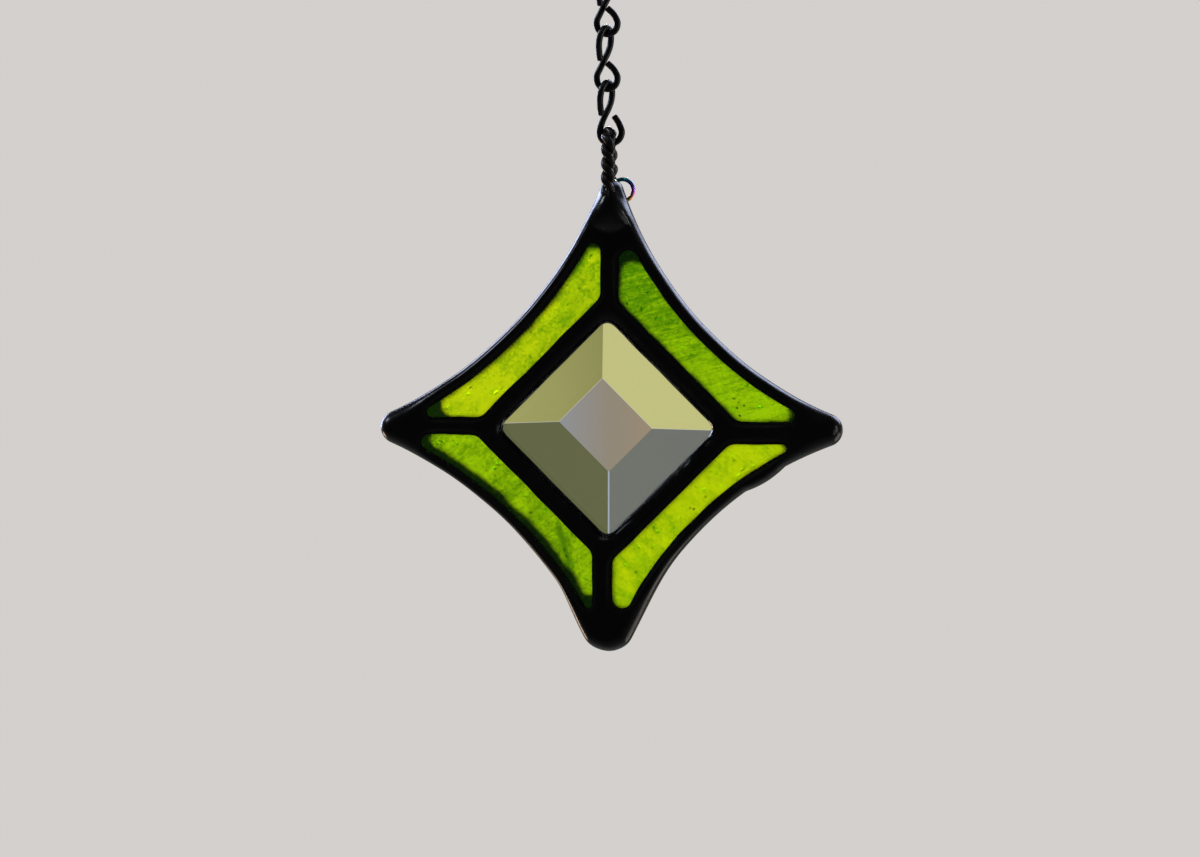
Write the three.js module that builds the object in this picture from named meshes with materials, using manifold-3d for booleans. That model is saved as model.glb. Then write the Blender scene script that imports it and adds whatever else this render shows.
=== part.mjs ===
// Stained glass suncatcher: a four-pointed star plate of soldered glass hanging from jack chain.
//
// A clear bevelled square stands on its point in the middle, with four curved slips of green
// glass round it. Soldered seams hold them together, a twisted wire eye is soldered over the top
// tip, and three links of chain run up from the eye. A small jump ring is soldered on the back.
//
// Millimetres, +Z up. The plate lies in the XZ plane and its front faces -Y. The origin is the
// inside of the crown of the top chain link, where a hook or a nail carries the whole thing.

import * as THREE from 'three';
import { mergeVertices } from 'three/addons/utils/BufferGeometryUtils.js';
import Module from 'manifold-3d';

// ---------------------------------------------------------------- driving dimensions

// Plate. Its own coordinates (x, z) are measured from the centre of the bevelled square.
const HANG_DROP = 65.9;              // from the hang point down to the centre of the square
const GLASS_THICKNESS = 3.0;
const FRAME_THICKNESS = 4.8;         // over the domed solder on both faces
const BEAD_RISE = 1.0;               // height of the rounded shoulder of a seam
const BEAD_RUN = 0.75;               // width of that shoulder
const CLEARANCE = 0.12;              // all round a glass piece inside the solder
const WIRE_CLEARANCE = 0.12;         // all round a wire inside the solder or against it
const FOIL_LAP = 0.8;                // how far a green slip reaches under its seams

// Rounded solder tips of the star: centre and radius.
const TIPS = {
  top: { x: 0.75, z: 34.65, r: 1.7 },
  left: { x: -31.05, z: 0.0, r: 2.5 },
  bottom: { x: 0.4, z: -29.7, r: 2.95 },
  right: { x: 32.15, z: 0.0, r: 2.4 },
};

// The four quarters of the star, counterclockwise. Each has a hollow side between two tips
// (radius side), a straight seam beside the bevelled square (at the distance seam from the
// centre), two seams that run out to the tips (at x = spokeX and z = spokeZ), and a border. The
// narrow ends of its window are rounded: roundX beside the seam at spokeX, roundZ at the other.
const QUARTERS = {
  upper_left: {
    from: 'top', to: 'left', across: [-1, 1], side: 61.3, seam: 14.15, border: 2.1,
    spokeX: -0.75, spokeZ: 1.65, roundX: 1.05, roundZ: 0.75,
  },
  lower_left: {
    from: 'left', to: 'bottom', across: [-1, -1], side: 59.8, seam: 14.2, border: 1.6,
    spokeX: -2.0, spokeZ: -1.0, roundX: 0.6, roundZ: 1.15,
  },
  lower_right: {
    from: 'bottom', to: 'right', across: [1, -1], side: 52.8, seam: 14.35, border: 1.9,
    spokeX: 1.0, spokeZ: -2.1, roundX: 1.4, roundZ: 0.6,
  },
  upper_right: {
    from: 'right', to: 'top', across: [1, 1], side: 54.0, seam: 14.5, border: 1.85,
    spokeX: 1.9, spokeZ: 1.2, roundX: 1.5, roundZ: 0.95,
  },
};
const BLUNT_CORNER = 0.9;            // rounding of the wide corners of glass and windows
const SLIP_ROUND = 1.0;              // rounding of the narrow ends of the green glass

// Bevelled square: one inch, flat at the back, ground away on four sides at the front.
const BEVEL_SIDE = 25.4;
const BEVEL_WINDOW = 23.0;           // what the seams leave uncovered
const BEVEL_CORNER = 1.3;            // rounding of that window's corners
const BEVEL_THICKNESS = 5.0;
const BEVEL_TABLE = [9.0, 10.3];     // flat table left in the middle
const BEVEL_TABLE_SHIFT = [0.69, 0.28];
// Fall of the ground faces, mm per mm: at the low and the high end of each side of the table.
const BEVEL_SLOPES = [[0.411, 0.485], [0.448, 0.456]];
const BEVEL_FORWARD = 0.9;           // its back lies nearly level with the back of the slips
const BEVEL_TILT = Math.PI / 4;      // the square stands on its point

// Lumps of solder, as ellipsoids: centre (x, y, z) in plate coordinates, half axes, and a turn in
// the plane of the plate. Three thicken the tips, two cover the legs of the eye, and one is a
// small run on the lower right border.
const SOLDER_LUMPS = [
  { at: [-29.5, 0, 0], half: [3.6, 2.75, 2.7], turn: 0 },
  { at: [30.6, 0, 0], half: [3.8, 2.75, 2.7], turn: 0 },
  { at: [0.4, 0, -28.6], half: [3.1, 2.75, 3.8], turn: 0 },
  { at: [0.6, -1.9, 30.4], half: [2.6, 3.0, 4.0], turn: 0 },
  { at: [0.4, 2.4, 30.6], half: [2.3, 3.3, 3.2], turn: 0 },
  { at: [24.0, 0, -5.8], half: [4.2, 1.9, 1.7], turn: 0.53 },
];

// Twisted wire eye: two strands laid together, bent over the top tip from front to back.
const STRAND_RADIUS = 0.47;
const LAY_RADIUS = 0.5;              // from the cord's axis to a strand's axis
const LAY_PITCH = 4.1;
const EYE_X = 0.35;
const EYE_CANT = 0.07;               // the eye is bent a little off square, mm per mm of depth
const EYE_CROWN_RADIUS = 2.6;
const EYE_FRONT_DEPTH = 2.9;         // cord axis of the front leg, before the plate's middle
const EYE_FRONT_END = 31.6;          // plate heights where the two legs end in solder
const EYE_BACK_END = 31.2;

// Chain: round wire, each link two loops at right angles.
const CHAIN_WIRE = 0.85;
const CHAIN_GAP = 0.1;
const CHAIN_X = [-0.05, -0.05, 0.12];  // of each link, from the top one down
const NECK_BELOW_CROWN = 4.85;       // from the wire's axis at the crown to the link's neck
const LOOP_BOTTOM = -4.05;           // the wire's axis at the lowest point, from the neck
const CHAIN_PITCH = NECK_BELOW_CROWN - LOOP_BOTTOM - CHAIN_WIRE - CHAIN_GAP;

// Small jump ring, flat against the back of the top tip, under the back leg of the eye.
const RING_RADIUS = 1.58;
const RING_WIRE = 0.5;
const RING_X = 1.95;
const RING_Z = 34.8;
const RING_Y = FRAME_THICKNESS / 2 + WIRE_CLEARANCE + RING_WIRE / 2;
const EYE_BACK_DEPTH = RING_Y + RING_WIRE / 2 + WIRE_CLEARANCE + LAY_RADIUS + STRAND_RADIUS;

// Facets.
const CURVE_SEGMENTS = 4;            // for each arc or corner of an outline
const TIP_ARCS = 2;                  // arcs that a tip and a hollow side are drawn in
const SIDE_ARCS = 2;
const BEAD_SEGMENTS = 2;
const WIRE_SIDES = 8;
const LINK_STEPS = 36;
const STRAND_STEPS = 48;
const LUMP_SEGMENTS = [10, 6];
const RING_SEGMENTS = [7, 20];
const SOCKET_SIDES = 10;
const SOCKET_STEPS = 1;

// ---------------------------------------------------------------- materials

const finish = (color, roughness, metalness, more = {}) =>
  new THREE.MeshStandardMaterial({ color, roughness, metalness, ...more });

const seeThrough = { transparent: true, opacity: 0.55 };
const makeSolderFinish = () => finish(0x17181a, 0.35, 0.85);
const makeWireFinish = () => finish(0x231d19, 0.4, 0.85);
const makeChainFinish = () => finish(0x121214, 0.35, 0.85);
const makeRingFinish = () => finish(0x5b4f9e, 0.25, 0.95);
const makeGreenGlass = () => finish(0x9acd10, 0.12, 0.0, seeThrough);
const makeClearGlass = () => finish(0xdfe6e2, 0.03, 0.0, seeThrough);

// ---------------------------------------------------------------- solids

const wasm = await Module();
wasm.setup();

// A closed three.js geometry as a solid that can be joined and cut.
function toSolid(geometry) {
  const bare = geometry.index ? geometry.toNonIndexed() : geometry.clone();
  bare.deleteAttribute('normal');
  bare.deleteAttribute('uv');
  const merged = mergeVertices(bare, 1e-4);
  const mesh = new wasm.Mesh({
    numProp: 3,
    vertProperties: new Float32Array(merged.attributes.position.array),
    triVerts: new Uint32Array(merged.index.array),
  });
  return new wasm.Manifold(mesh);
}

function toGeometry(solid) {
  const mesh = solid.getMesh();
  const geometry = new THREE.BufferGeometry();
  geometry.setAttribute('position', new THREE.BufferAttribute(mesh.vertProperties, 3));
  geometry.setIndex(new THREE.BufferAttribute(mesh.triVerts, 1));
  geometry.computeVertexNormals();
  return geometry;
}

// Stands a drawing in the XY plane up into the XZ plane, centred on the plate's middle.
function standUp(geometry, thickness) {
  return geometry.translate(0, 0, -thickness / 2).rotateX(Math.PI / 2);
}

function extrudePlate(shape, thickness) {
  const options = { depth: thickness, bevelEnabled: false, curveSegments: CURVE_SEGMENTS };
  return standUp(new THREE.ExtrudeGeometry(shape, options), thickness);
}

function roundSection(radius, sides) {
  const points = [];
  for (let i = 0; i < sides; i++) {
    const angle = (2 * Math.PI * i) / sides;
    points.push(new THREE.Vector2(radius * Math.cos(angle), radius * Math.sin(angle)));
  }
  return new THREE.Shape(points);
}

function wireAlong(curve, radius, steps, sides = WIRE_SIDES) {
  const options = { extrudePath: curve, steps, bevelEnabled: false };
  return new THREE.ExtrudeGeometry(roundSection(radius, sides), options);
}

// ---------------------------------------------------------------- outline of the star

// Centre of the hollow side that touches both of its tips from outside.
function sideCentre(quarter) {
  const a = TIPS[quarter.from];
  const b = TIPS[quarter.to];
  const start = new THREE.Vector2(a.x, a.z);
  const chord = new THREE.Vector2(b.x, b.z).sub(start);
  const span = chord.length();
  const reachA = quarter.side + a.r;
  const reachB = quarter.side + b.r;
  const along = (reachA ** 2 - reachB ** 2 + span ** 2) / (2 * span);
  const offset = Math.sqrt(reachA ** 2 - along ** 2);
  const unit = chord.clone().normalize();
  const outward = new THREE.Vector2(unit.y, -unit.x);
  return start.add(unit.multiplyScalar(along)).add(outward.multiplyScalar(offset));
}

const angleTo = (centre, x, z) => Math.atan2(z - centre.y, x - centre.x);

// Draws an arc in equal parts, so that a long one gets more facets than a short one.
function drawArc(shape, x, z, radius, start, end, clockwise, parts = 1) {
  const full = 2 * Math.PI;
  const forward = (((end - start) % full) + full) % full;
  const sweep = clockwise ? forward - full : forward;
  for (let i = 0; i < parts; i++) {
    const from = start + (sweep * i) / parts;
    shape.absarc(x, z, radius, from, from + sweep / parts, clockwise);
  }
}

function starShape() {
  const shape = new THREE.Shape();
  const quarters = Object.values(QUARTERS);
  quarters.forEach((quarter, i) => {
    const before = sideCentre(quarters[(i + quarters.length - 1) % quarters.length]);
    const centre = sideCentre(quarter);
    const tip = TIPS[quarter.from];
    const next = TIPS[quarter.to];
    const tipStart = Math.atan2(before.y - tip.z, before.x - tip.x);
    const tipEnd = Math.atan2(centre.y - tip.z, centre.x - tip.x);
    drawArc(shape, tip.x, tip.z, tip.r, tipStart, tipEnd, false, TIP_ARCS);
    const sideStart = angleTo(centre, tip.x, tip.z);
    const sideEnd = angleTo(centre, next.x, next.z);
    drawArc(shape, centre.x, centre.y, quarter.side, sideStart, sideEnd, true, SIDE_ARCS);
  });
  return shape;
}

// ---------------------------------------------------------------- windows and glass outlines

// Outline of a quarter: its window, or with grow above 0 the larger outline of what lies behind
// it. It runs down the side at spokeX, along the square, out along spokeZ, round the narrow end
// there, back along the hollow side, and round the other narrow end.
function quarterShape(quarter, grow, roundX, roundZ) {
  const [dx, dz] = quarter.across;
  const spokeX = quarter.spokeX - dx * grow;
  const spokeZ = quarter.spokeZ - dz * grow;
  const reach = (quarter.seam - grow) * Math.SQRT2;
  const radius = quarter.side + quarter.border - grow;
  const centre = sideCentre(quarter);

  // Centres of the rounded ends, which touch a spoke and the hollow side.
  const endX = new THREE.Vector2(spokeX + dx * roundX, 0);
  endX.y = centre.y - dz * Math.sqrt((radius + roundX) ** 2 - (endX.x - centre.x) ** 2);
  const endZ = new THREE.Vector2(0, spokeZ + dz * roundZ);
  endZ.x = centre.x - dx * Math.sqrt((radius + roundZ) ** 2 - (endZ.y - centre.y) ** 2);
  const angleX = angleTo(centre, endX.x, endX.y);
  const angleZ = angleTo(centre, endZ.x, endZ.y);

  const alongX = new THREE.Vector2(0, dz);
  const alongZ = new THREE.Vector2(dx, 0);
  const alongSeam = new THREE.Vector2(dx, -dz).normalize();
  const cornerX = new THREE.Vector2(spokeX, dz * (reach - dx * spokeX));
  const cornerZ = new THREE.Vector2(dx * (reach - dz * spokeZ), spokeZ);

  const shape = new THREE.Shape();
  const rounded = (corner, from, to) => {
    const before = corner.clone().addScaledVector(from, BLUNT_CORNER);
    const after = corner.clone().addScaledVector(to, BLUNT_CORNER);
    shape.lineTo(before.x, before.y);
    shape.quadraticCurveTo(corner.x, corner.y, after.x, after.y);
  };
  const clockwise = dx * dz > 0;
  const facingX = dx > 0 ? Math.PI : 0;
  const facingZ = (-dz * Math.PI) / 2;
  shape.moveTo(spokeX, endX.y);
  rounded(cornerX, alongX, alongSeam);
  rounded(cornerZ, alongSeam.clone().negate(), alongZ);
  drawArc(shape, endZ.x, endZ.y, roundZ, facingZ, angleZ + Math.PI, !clockwise);
  drawArc(shape, centre.x, centre.y, radius, angleZ, angleX, clockwise, SIDE_ARCS);
  drawArc(shape, endX.x, endX.y, roundX, angleX + Math.PI, facingX, !clockwise);
  return shape;
}

const windowShape = (quarter) => quarterShape(quarter, 0, quarter.roundX, quarter.roundZ);

function slipShape(quarter, clearance = 0) {
  const round = SLIP_ROUND + clearance;
  return quarterShape(quarter, FOIL_LAP + clearance, round, round);
}

// Square of a given side, standing on its point, with rounded corners.
function squareShape(side, corner) {
  const shape = new THREE.Shape();
  const reach = side / Math.SQRT2;
  const cut = corner / Math.SQRT2;
  for (let i = 0; i < 4; i++) {
    const out = new THREE.Vector2(Math.cos((i * Math.PI) / 2), Math.sin((i * Math.PI) / 2));
    const left = new THREE.Vector2(-out.y, out.x);
    const tip = out.clone().multiplyScalar(reach);
    const back = out.clone().multiplyScalar(reach - cut);
    const before = back.clone().addScaledVector(left, -cut);
    const after = back.clone().addScaledVector(left, cut);
    if (i === 0) {
      shape.moveTo(before.x, before.y);
    } else {
      shape.lineTo(before.x, before.y);
    }
    shape.quadraticCurveTo(tip.x, tip.y, after.x, after.y);
  }
  return shape;
}

// ---------------------------------------------------------------- glass

function greenSlip(quarter) {
  return extrudePlate(slipShape(quarter), GLASS_THICKNESS);
}

// Convex body of the bevelled square: back face, four edges, and the table at the front. Where a
// ground face meets the edge of the square, the edge is as thick as the slope leaves it. With
// grow above 0 it is the pocket that the square sits in.
function bevelSolid(grow = 0) {
  const half = BEVEL_SIDE / 2 + grow;
  const front = BEVEL_THICKNESS / 2 + grow;
  const table = BEVEL_TABLE.map((size, i) => [
    BEVEL_TABLE_SHIFT[i] - size / 2,
    BEVEL_TABLE_SHIFT[i] + size / 2,
  ]);
  const slab = new THREE.BoxGeometry(2 * half, 2 * half, 2 * front);
  let solid = toSolid(slab);
  const wheel = 4 * BEVEL_SIDE;
  for (const [axis, end] of [[0, 0], [0, 1], [1, 0], [1, 1]]) {
    const grind = Math.atan(BEVEL_SLOPES[axis][end]);
    const lift = grow * (1 / Math.cos(grind) - 1);
    const sign = end === 0 ? -1 : 1;
    const cutter = new THREE.BoxGeometry(wheel, wheel, wheel);
    cutter.translate(0, 0, wheel / 2);
    if (axis === 0) {
      cutter.rotateY(sign * grind);
      cutter.translate(table[0][end], 0, front + lift);
    } else {
      cutter.rotateX(-sign * grind);
      cutter.translate(0, table[1][end], front + lift);
    }
    solid = solid.subtract(toSolid(cutter));
  }
  return solid;
}

function standBevelUp(geometry) {
  return geometry.translate(0, 0, BEVEL_FORWARD).rotateZ(BEVEL_TILT).rotateX(Math.PI / 2);
}

// ---------------------------------------------------------------- wire eye

// Axis of the cord: up the front leg, over the crown, down the back leg.
class EyeAxis extends THREE.Curve {
  constructor(frontEnd, backEnd, crown) {
    super();
    this.frontEnd = frontEnd;
    this.backEnd = backEnd;
    this.shoulder = crown - EYE_CROWN_RADIUS;
    this.frontLength = this.shoulder - frontEnd;
    this.crownLength = Math.PI * EYE_CROWN_RADIUS;
    this.length = this.frontLength + this.crownLength + this.shoulder - backEnd;
  }

  getPoint(t, target = new THREE.Vector3()) {
    const s = t * this.length;
    const round = s - this.frontLength;
    if (round < 0) {
      const rise = this.frontEnd + s;
      return this.set(target, -this.spread(rise, EYE_FRONT_DEPTH), rise);
    }
    if (round < this.crownLength) {
      const angle = round / EYE_CROWN_RADIUS;
      const y = -EYE_CROWN_RADIUS * Math.cos(angle);
      return this.set(target, y, this.shoulder + EYE_CROWN_RADIUS * Math.sin(angle));
    }
    const fall = this.shoulder - (round - this.crownLength);
    return this.set(target, this.spread(fall, EYE_BACK_DEPTH), fall);
  }

  set(target, y, z) {
    return target.set(EYE_X - EYE_CANT * y, y, z);
  }

  // The legs open out from the crown to the faces of the plate.
  spread(z, depth) {
    const tipTop = TIPS.top.z + TIPS.top.r;
    const share = THREE.MathUtils.smoothstep(this.shoulder - z, 0, this.shoulder - tipTop);
    return EYE_CROWN_RADIUS + (depth - EYE_CROWN_RADIUS) * share;
  }
}

// One strand of the cord, wound round its axis. The axis lies in a plane of constant x.
class Strand extends THREE.Curve {
  constructor(axis, phase) {
    super();
    this.axis = axis;
    this.phase = phase;
  }

  getPoint(t, target = new THREE.Vector3()) {
    const centre = this.axis.getPoint(t);
    const tangent = this.axis.getTangent(t);
    const side = new THREE.Vector3(1, 0, 0);
    const normal = new THREE.Vector3().crossVectors(tangent, side);
    const angle = this.phase + (2 * Math.PI * t * this.axis.length) / LAY_PITCH;
    target.copy(centre);
    target.addScaledVector(normal, LAY_RADIUS * Math.cos(angle));
    return target.addScaledVector(side, LAY_RADIUS * Math.sin(angle));
  }
}

// The eye hangs on the bottom of the last link.
function eyeCrownHeight() {
  const lastBottom = linkNeck(CHAIN_X.length - 1) + LOOP_BOTTOM + CHAIN_WIRE / 2;
  return lastBottom + CHAIN_GAP + LAY_RADIUS + STRAND_RADIUS + HANG_DROP;
}

// Straight sockets in the solder for the two legs of the eye.
function eyeSockets() {
  const radius = LAY_RADIUS + STRAND_RADIUS + WIRE_CLEARANCE;
  const top = TIPS.top.z + TIPS.top.r + 1;
  const leg = (y, bottom) => {
    const x = EYE_X - EYE_CANT * y;
    const line = new THREE.LineCurve3(
      new THREE.Vector3(x, y, bottom - WIRE_CLEARANCE - STRAND_RADIUS),
      new THREE.Vector3(x, y, top),
    );
    return toSolid(wireAlong(line, radius, SOCKET_STEPS, SOCKET_SIDES));
  };
  return leg(-EYE_FRONT_DEPTH, EYE_FRONT_END).add(leg(EYE_BACK_DEPTH, EYE_BACK_END));
}

// ---------------------------------------------------------------- jump ring

// With clearance above 0 it is the groove that the ring leaves in the solder.
function ringGeometry(clearance = 0) {
  const wire = RING_WIRE / 2 + clearance;
  const ring = new THREE.TorusGeometry(RING_RADIUS, wire, ...RING_SEGMENTS);
  return ring.rotateX(Math.PI / 2).translate(RING_X, RING_Y, RING_Z);
}

// ---------------------------------------------------------------- solder

function lumpSolid({ at, half, turn }) {
  const geometry = new THREE.SphereGeometry(1, ...LUMP_SEGMENTS);
  return toSolid(geometry.scale(...half).rotateY(-turn).translate(...at));
}

function solderFrame() {
  const shape = starShape();
  for (const quarter of Object.values(QUARTERS)) {
    shape.holes.push(windowShape(quarter));
  }
  shape.holes.push(squareShape(BEVEL_WINDOW, BEVEL_CORNER));
  const bead = new THREE.ExtrudeGeometry(shape, {
    depth: FRAME_THICKNESS - 2 * BEAD_RISE,
    bevelThickness: BEAD_RISE,
    bevelSize: BEAD_RUN,
    bevelOffset: -BEAD_RUN,
    bevelSegments: BEAD_SEGMENTS,
    curveSegments: CURVE_SEGMENTS,
  });
  let solid = toSolid(standUp(bead, FRAME_THICKNESS - 2 * BEAD_RISE));
  for (const lump of SOLDER_LUMPS) {
    solid = solid.add(lumpSolid(lump));
  }
  for (const quarter of Object.values(QUARTERS)) {
    const pocket = extrudePlate(slipShape(quarter, CLEARANCE), GLASS_THICKNESS + 2 * CLEARANCE);
    solid = solid.subtract(toSolid(pocket));
  }
  solid = solid.subtract(toSolid(standBevelUp(toGeometry(bevelSolid(CLEARANCE)))));
  solid = solid.subtract(eyeSockets());
  return toGeometry(solid.subtract(toSolid(ringGeometry(WIRE_CLEARANCE))));
}

// ---------------------------------------------------------------- chain

// Axis of the wire of one link, as points round its neck. The upper loop lies front to back and
// starts at its cut end; the lower loop lies across and ends at its own cut end.
const UPPER_LOOP = [
  [-0.85, -0.40, 0.20],
  [-0.95, -0.85, 1.25],
  [-0.90, -1.38, 2.60],
  [-0.65, -1.35, 3.85],
  [-0.25, -0.75, 4.68],
  [0.05, 0.00, NECK_BELOW_CROWN],
  [0.28, 0.78, 4.62],
  [0.45, 1.38, 3.75],
  [0.38, 1.35, 2.45],
  [0.05, 0.90, 1.20],
  [-0.40, 0.42, 0.15],
];
const CLOSED_LOOP = [
  [-0.90, 0.15, -0.95],
  [-1.42, 0.00, -2.30],
  [-1.05, 0.00, -3.55],
  [0.10, 0.00, LOOP_BOTTOM],
  [1.25, 0.00, -3.55],
  [1.62, 0.00, -2.45],
  [1.12, -0.12, -1.25],
  [0.20, -0.42, -0.30],
];
const OPEN_LOOP = [
  [-0.78, 0.15, -0.80],
  [-1.15, 0.00, -2.30],
  [-0.80, 0.00, -3.45],
  [0.40, 0.00, LOOP_BOTTOM],
  [1.62, 0.00, -3.50],
  [2.08, 0.00, -2.45],
  [1.70, 0.00, -1.20],
  [0.98, 0.00, -0.05],
];

// Height of a link's neck, counted from the top link down.
function linkNeck(index) {
  return CHAIN_WIRE / 2 - NECK_BELOW_CROWN - index * CHAIN_PITCH;
}

function linkGeometry(lowerLoop) {
  const points = [...UPPER_LOOP, ...lowerLoop].map((p) => new THREE.Vector3(...p));
  return wireAlong(new THREE.CatmullRomCurve3(points), CHAIN_WIRE / 2, LINK_STEPS);
}

// ---------------------------------------------------------------- assembly

const group = new THREE.Group();

function place(name, geometry, material, parent) {
  const mesh = new THREE.Mesh(geometry, material);
  mesh.name = name;
  parent.add(mesh);
  return mesh;
}

for (const [i, x] of CHAIN_X.entries()) {
  const lowerLoop = i === CHAIN_X.length - 1 ? OPEN_LOOP : CLOSED_LOOP;
  const link = place(`chain_link_${i + 1}`, linkGeometry(lowerLoop), makeChainFinish(), group);
  link.position.set(x, 0, linkNeck(i));
}

const plate = new THREE.Group();
plate.position.z = -HANG_DROP;
group.add(plate);

place('solder_frame', solderFrame(), makeSolderFinish(), plate);
place('bevel_square', standBevelUp(toGeometry(bevelSolid())), makeClearGlass(), plate);
for (const [name, quarter] of Object.entries(QUARTERS)) {
  place(`glass_${name}`, greenSlip(quarter), makeGreenGlass(), plate);
}

const eye = new EyeAxis(EYE_FRONT_END, EYE_BACK_END, eyeCrownHeight());
for (const [i, phase] of [0, Math.PI].entries()) {
  const strand = wireAlong(new Strand(eye, phase), STRAND_RADIUS, STRAND_STEPS);
  place(`eye_strand_${i + 1}`, strand, makeWireFinish(), plate);
}

place('jump_ring', ringGeometry(), makeRingFinish(), plate);

export default group;
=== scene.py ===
import random
from collections import namedtuple
from math import atan2, cos, pi, radians, sin, sqrt, tau

import bmesh
import bpy
import numpy as np
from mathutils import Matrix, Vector, noise
from mathutils.geometry import delaunay_2d_cdt


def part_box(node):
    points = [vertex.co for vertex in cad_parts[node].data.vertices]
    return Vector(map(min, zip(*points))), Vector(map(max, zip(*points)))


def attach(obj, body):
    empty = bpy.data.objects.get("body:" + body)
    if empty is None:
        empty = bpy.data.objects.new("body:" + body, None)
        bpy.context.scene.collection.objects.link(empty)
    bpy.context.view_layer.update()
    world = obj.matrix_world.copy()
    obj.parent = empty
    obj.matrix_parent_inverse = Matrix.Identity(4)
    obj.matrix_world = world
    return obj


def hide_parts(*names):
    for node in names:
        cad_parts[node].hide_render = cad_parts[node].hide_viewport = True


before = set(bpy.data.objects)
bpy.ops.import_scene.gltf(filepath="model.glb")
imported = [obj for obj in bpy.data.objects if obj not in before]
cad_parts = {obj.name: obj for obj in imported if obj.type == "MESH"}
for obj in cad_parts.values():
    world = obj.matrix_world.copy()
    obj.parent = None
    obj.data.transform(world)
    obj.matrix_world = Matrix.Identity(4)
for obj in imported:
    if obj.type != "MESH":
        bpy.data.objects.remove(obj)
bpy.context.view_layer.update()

# The looks of a stained glass suncatcher. Outlines are in millimetres on the plate's own axes: x to
# the right and z up from the centre of the bevelled square, y back from the middle of the glass.
# They turn to metres when a mesh is made.

MM = 0.001
BEVEL_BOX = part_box("bevel_square")
PLATE_Z = (BEVEL_BOX[0].z + BEVEL_BOX[1].z) / 2 / MM

# ---- driving dimensions, most of them as in the CAD

GLASS_HALF = 1.5
FOIL_LAP = 0.8  # how far a slip reaches under its seams
CLEARANCE = 0.12  # round each glass piece inside the solder
# Solder tips of the star: centre and radius.
TIPS = {
    "top": (0.75, 34.65, 1.7), "left": (-31.05, 0.0, 2.5),
    "bottom": (0.4, -29.7, 2.95), "right": (32.15, 0.0, 2.4),
}
# Each quarter of the star has a hollow side between two tips, a seam beside the bevelled square, a
# border, and two spokes, which are seams that run out to the tips at their own x and z. The ends of
# its window are rounded, the one at the spoke's x first.
Quarter = namedtuple("Quarter", "start stop signs side seam border spokes ends")
QUARTERS = {
    "upper_left": Quarter("top", "left", (-1, 1), 61.3, 14.15, 2.1, (-0.75, 1.65), (1.05, 0.75)),
    "lower_left": Quarter("left", "bottom", (-1, -1), 59.8, 14.2, 1.6, (-2.0, -1.0), (0.6, 1.15)),
    "lower_right": Quarter("bottom", "right", (1, -1), 52.8, 14.35, 1.9, (1.0, -2.1), (1.4, 0.6)),
    "upper_right": Quarter("right", "top", (1, 1), 54.0, 14.5, 1.85, (1.9, 1.2), (1.5, 0.95)),
}
# Painted shade: the dark of the solder lap behind each slip, and its shadow, painted into the glass.
# How much further each slip's painted lap shade reaches at its back: border, end in x, end in z.
DARK_LAPS = {
    "upper_left": (0.1, 0.0, 0.5), "lower_left": (0.75, 0.0, -0.35),
    "lower_right": (0.0, -0.2, 0.0), "upper_right": (0.1, 0.4, 0.1),
}
LAP_SOFT = 0.35  # half the width over which the painted shade fades
LAP_WAVER, LAP_WAVE = 0.28, 2.5  # how much its edge wavers, and over what length
LAP_MORE = 0.18  # how far the painted shade reaches beyond the solder on every side
# The back windows are cut wider, and the lap behind the glass is painted shade in the slips instead.
BACK_WINDOWS_GROW = 0.25
BLUNT_CORNER = 0.9  # rounding of the wide corners of glass and windows
SLIP_ROUND = 1.0  # rounding of a slip's narrow ends

BEVEL_SIDE = 25.4
BEVEL_WINDOW = 22.6  # what the seams leave uncovered at the front
BEVEL_WINDOW_AT = (0.12, 0.014)
BEVEL_BACK_WINDOW = 23.2
BEVEL_CORNER = 1.7  # rounding of both windows' corners
BEVEL_POCKET_CORNER = 0.5
BEVEL_FRONT, BEVEL_BACK = -3.4, 1.6
BEVEL_TABLE = (9.0, 10.3)
BEVEL_TABLE_SHIFT = (0.69, 0.28)
# Fall of the ground faces, at the low and the high end of each side of the table.
BEVEL_SLOPES = ((0.411, 0.485), (0.448, 0.456))
BEVEL_ARRIS = 0.025  # how far its edges are broken
LOW_RIDGE_ARRIS = 0.12
LOW_RIDGE_WITHIN = 2.0  # how near the lowest ridge runs to the middle line

STEP = 0.3  # spacing of the points on the star's outline
# How many points lie on each part of a window's outline, and of a square's.
SPOKE_POINTS, CORNER_POINTS, SEAM_POINTS, END_POINTS, SIDE_POINTS = 36, 6, 56, 12, 100
SQUARE_CORNER_POINTS, SQUARE_SIDE_POINTS = 10, 72

# ---- outlines


def tip(name):
    return np.array(TIPS[name][:2]), TIPS[name][2]


def side_centre(quarter):
    """Centre of the hollow side that touches both of its tips from outside."""
    (a, ra), (b, rb) = tip(quarter.start), tip(quarter.stop)
    span = np.linalg.norm(b - a)
    reach_a, reach_b = quarter.side + ra, quarter.side + rb
    along = (reach_a**2 - reach_b**2 + span**2) / (2 * span)
    offset = sqrt(reach_a**2 - along**2)
    x, z = (b - a) / span
    return a + np.array([x, z]) * along + np.array([z, -x]) * offset


def angle_of(vector):
    return atan2(vector[1], vector[0])


def circle(angles):
    return np.column_stack([np.cos(angles), np.sin(angles)])


def unit(vectors):
    return vectors / np.linalg.norm(vectors, axis=-1, keepdims=True)


def arc(centre, radius, start, end, clockwise, count):
    """Points along an arc, without its last one."""
    forward = (end - start) % (tau)
    sweep = forward - tau if clockwise else forward
    angles = start + sweep * np.arange(count) / count
    return centre + radius * circle(angles)


def line(a, b, count):
    """Points along a line, without its last one."""
    return a + (b - a) * (np.arange(count) / count)[:, None]


def soft_corner(before, corner, after, count):
    """Points round a corner, without the last one."""
    t = (np.arange(count) / count)[:, None]
    return (1 - t) ** 2 * before + 2 * t * (1 - t) * corner + t**2 * after


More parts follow.
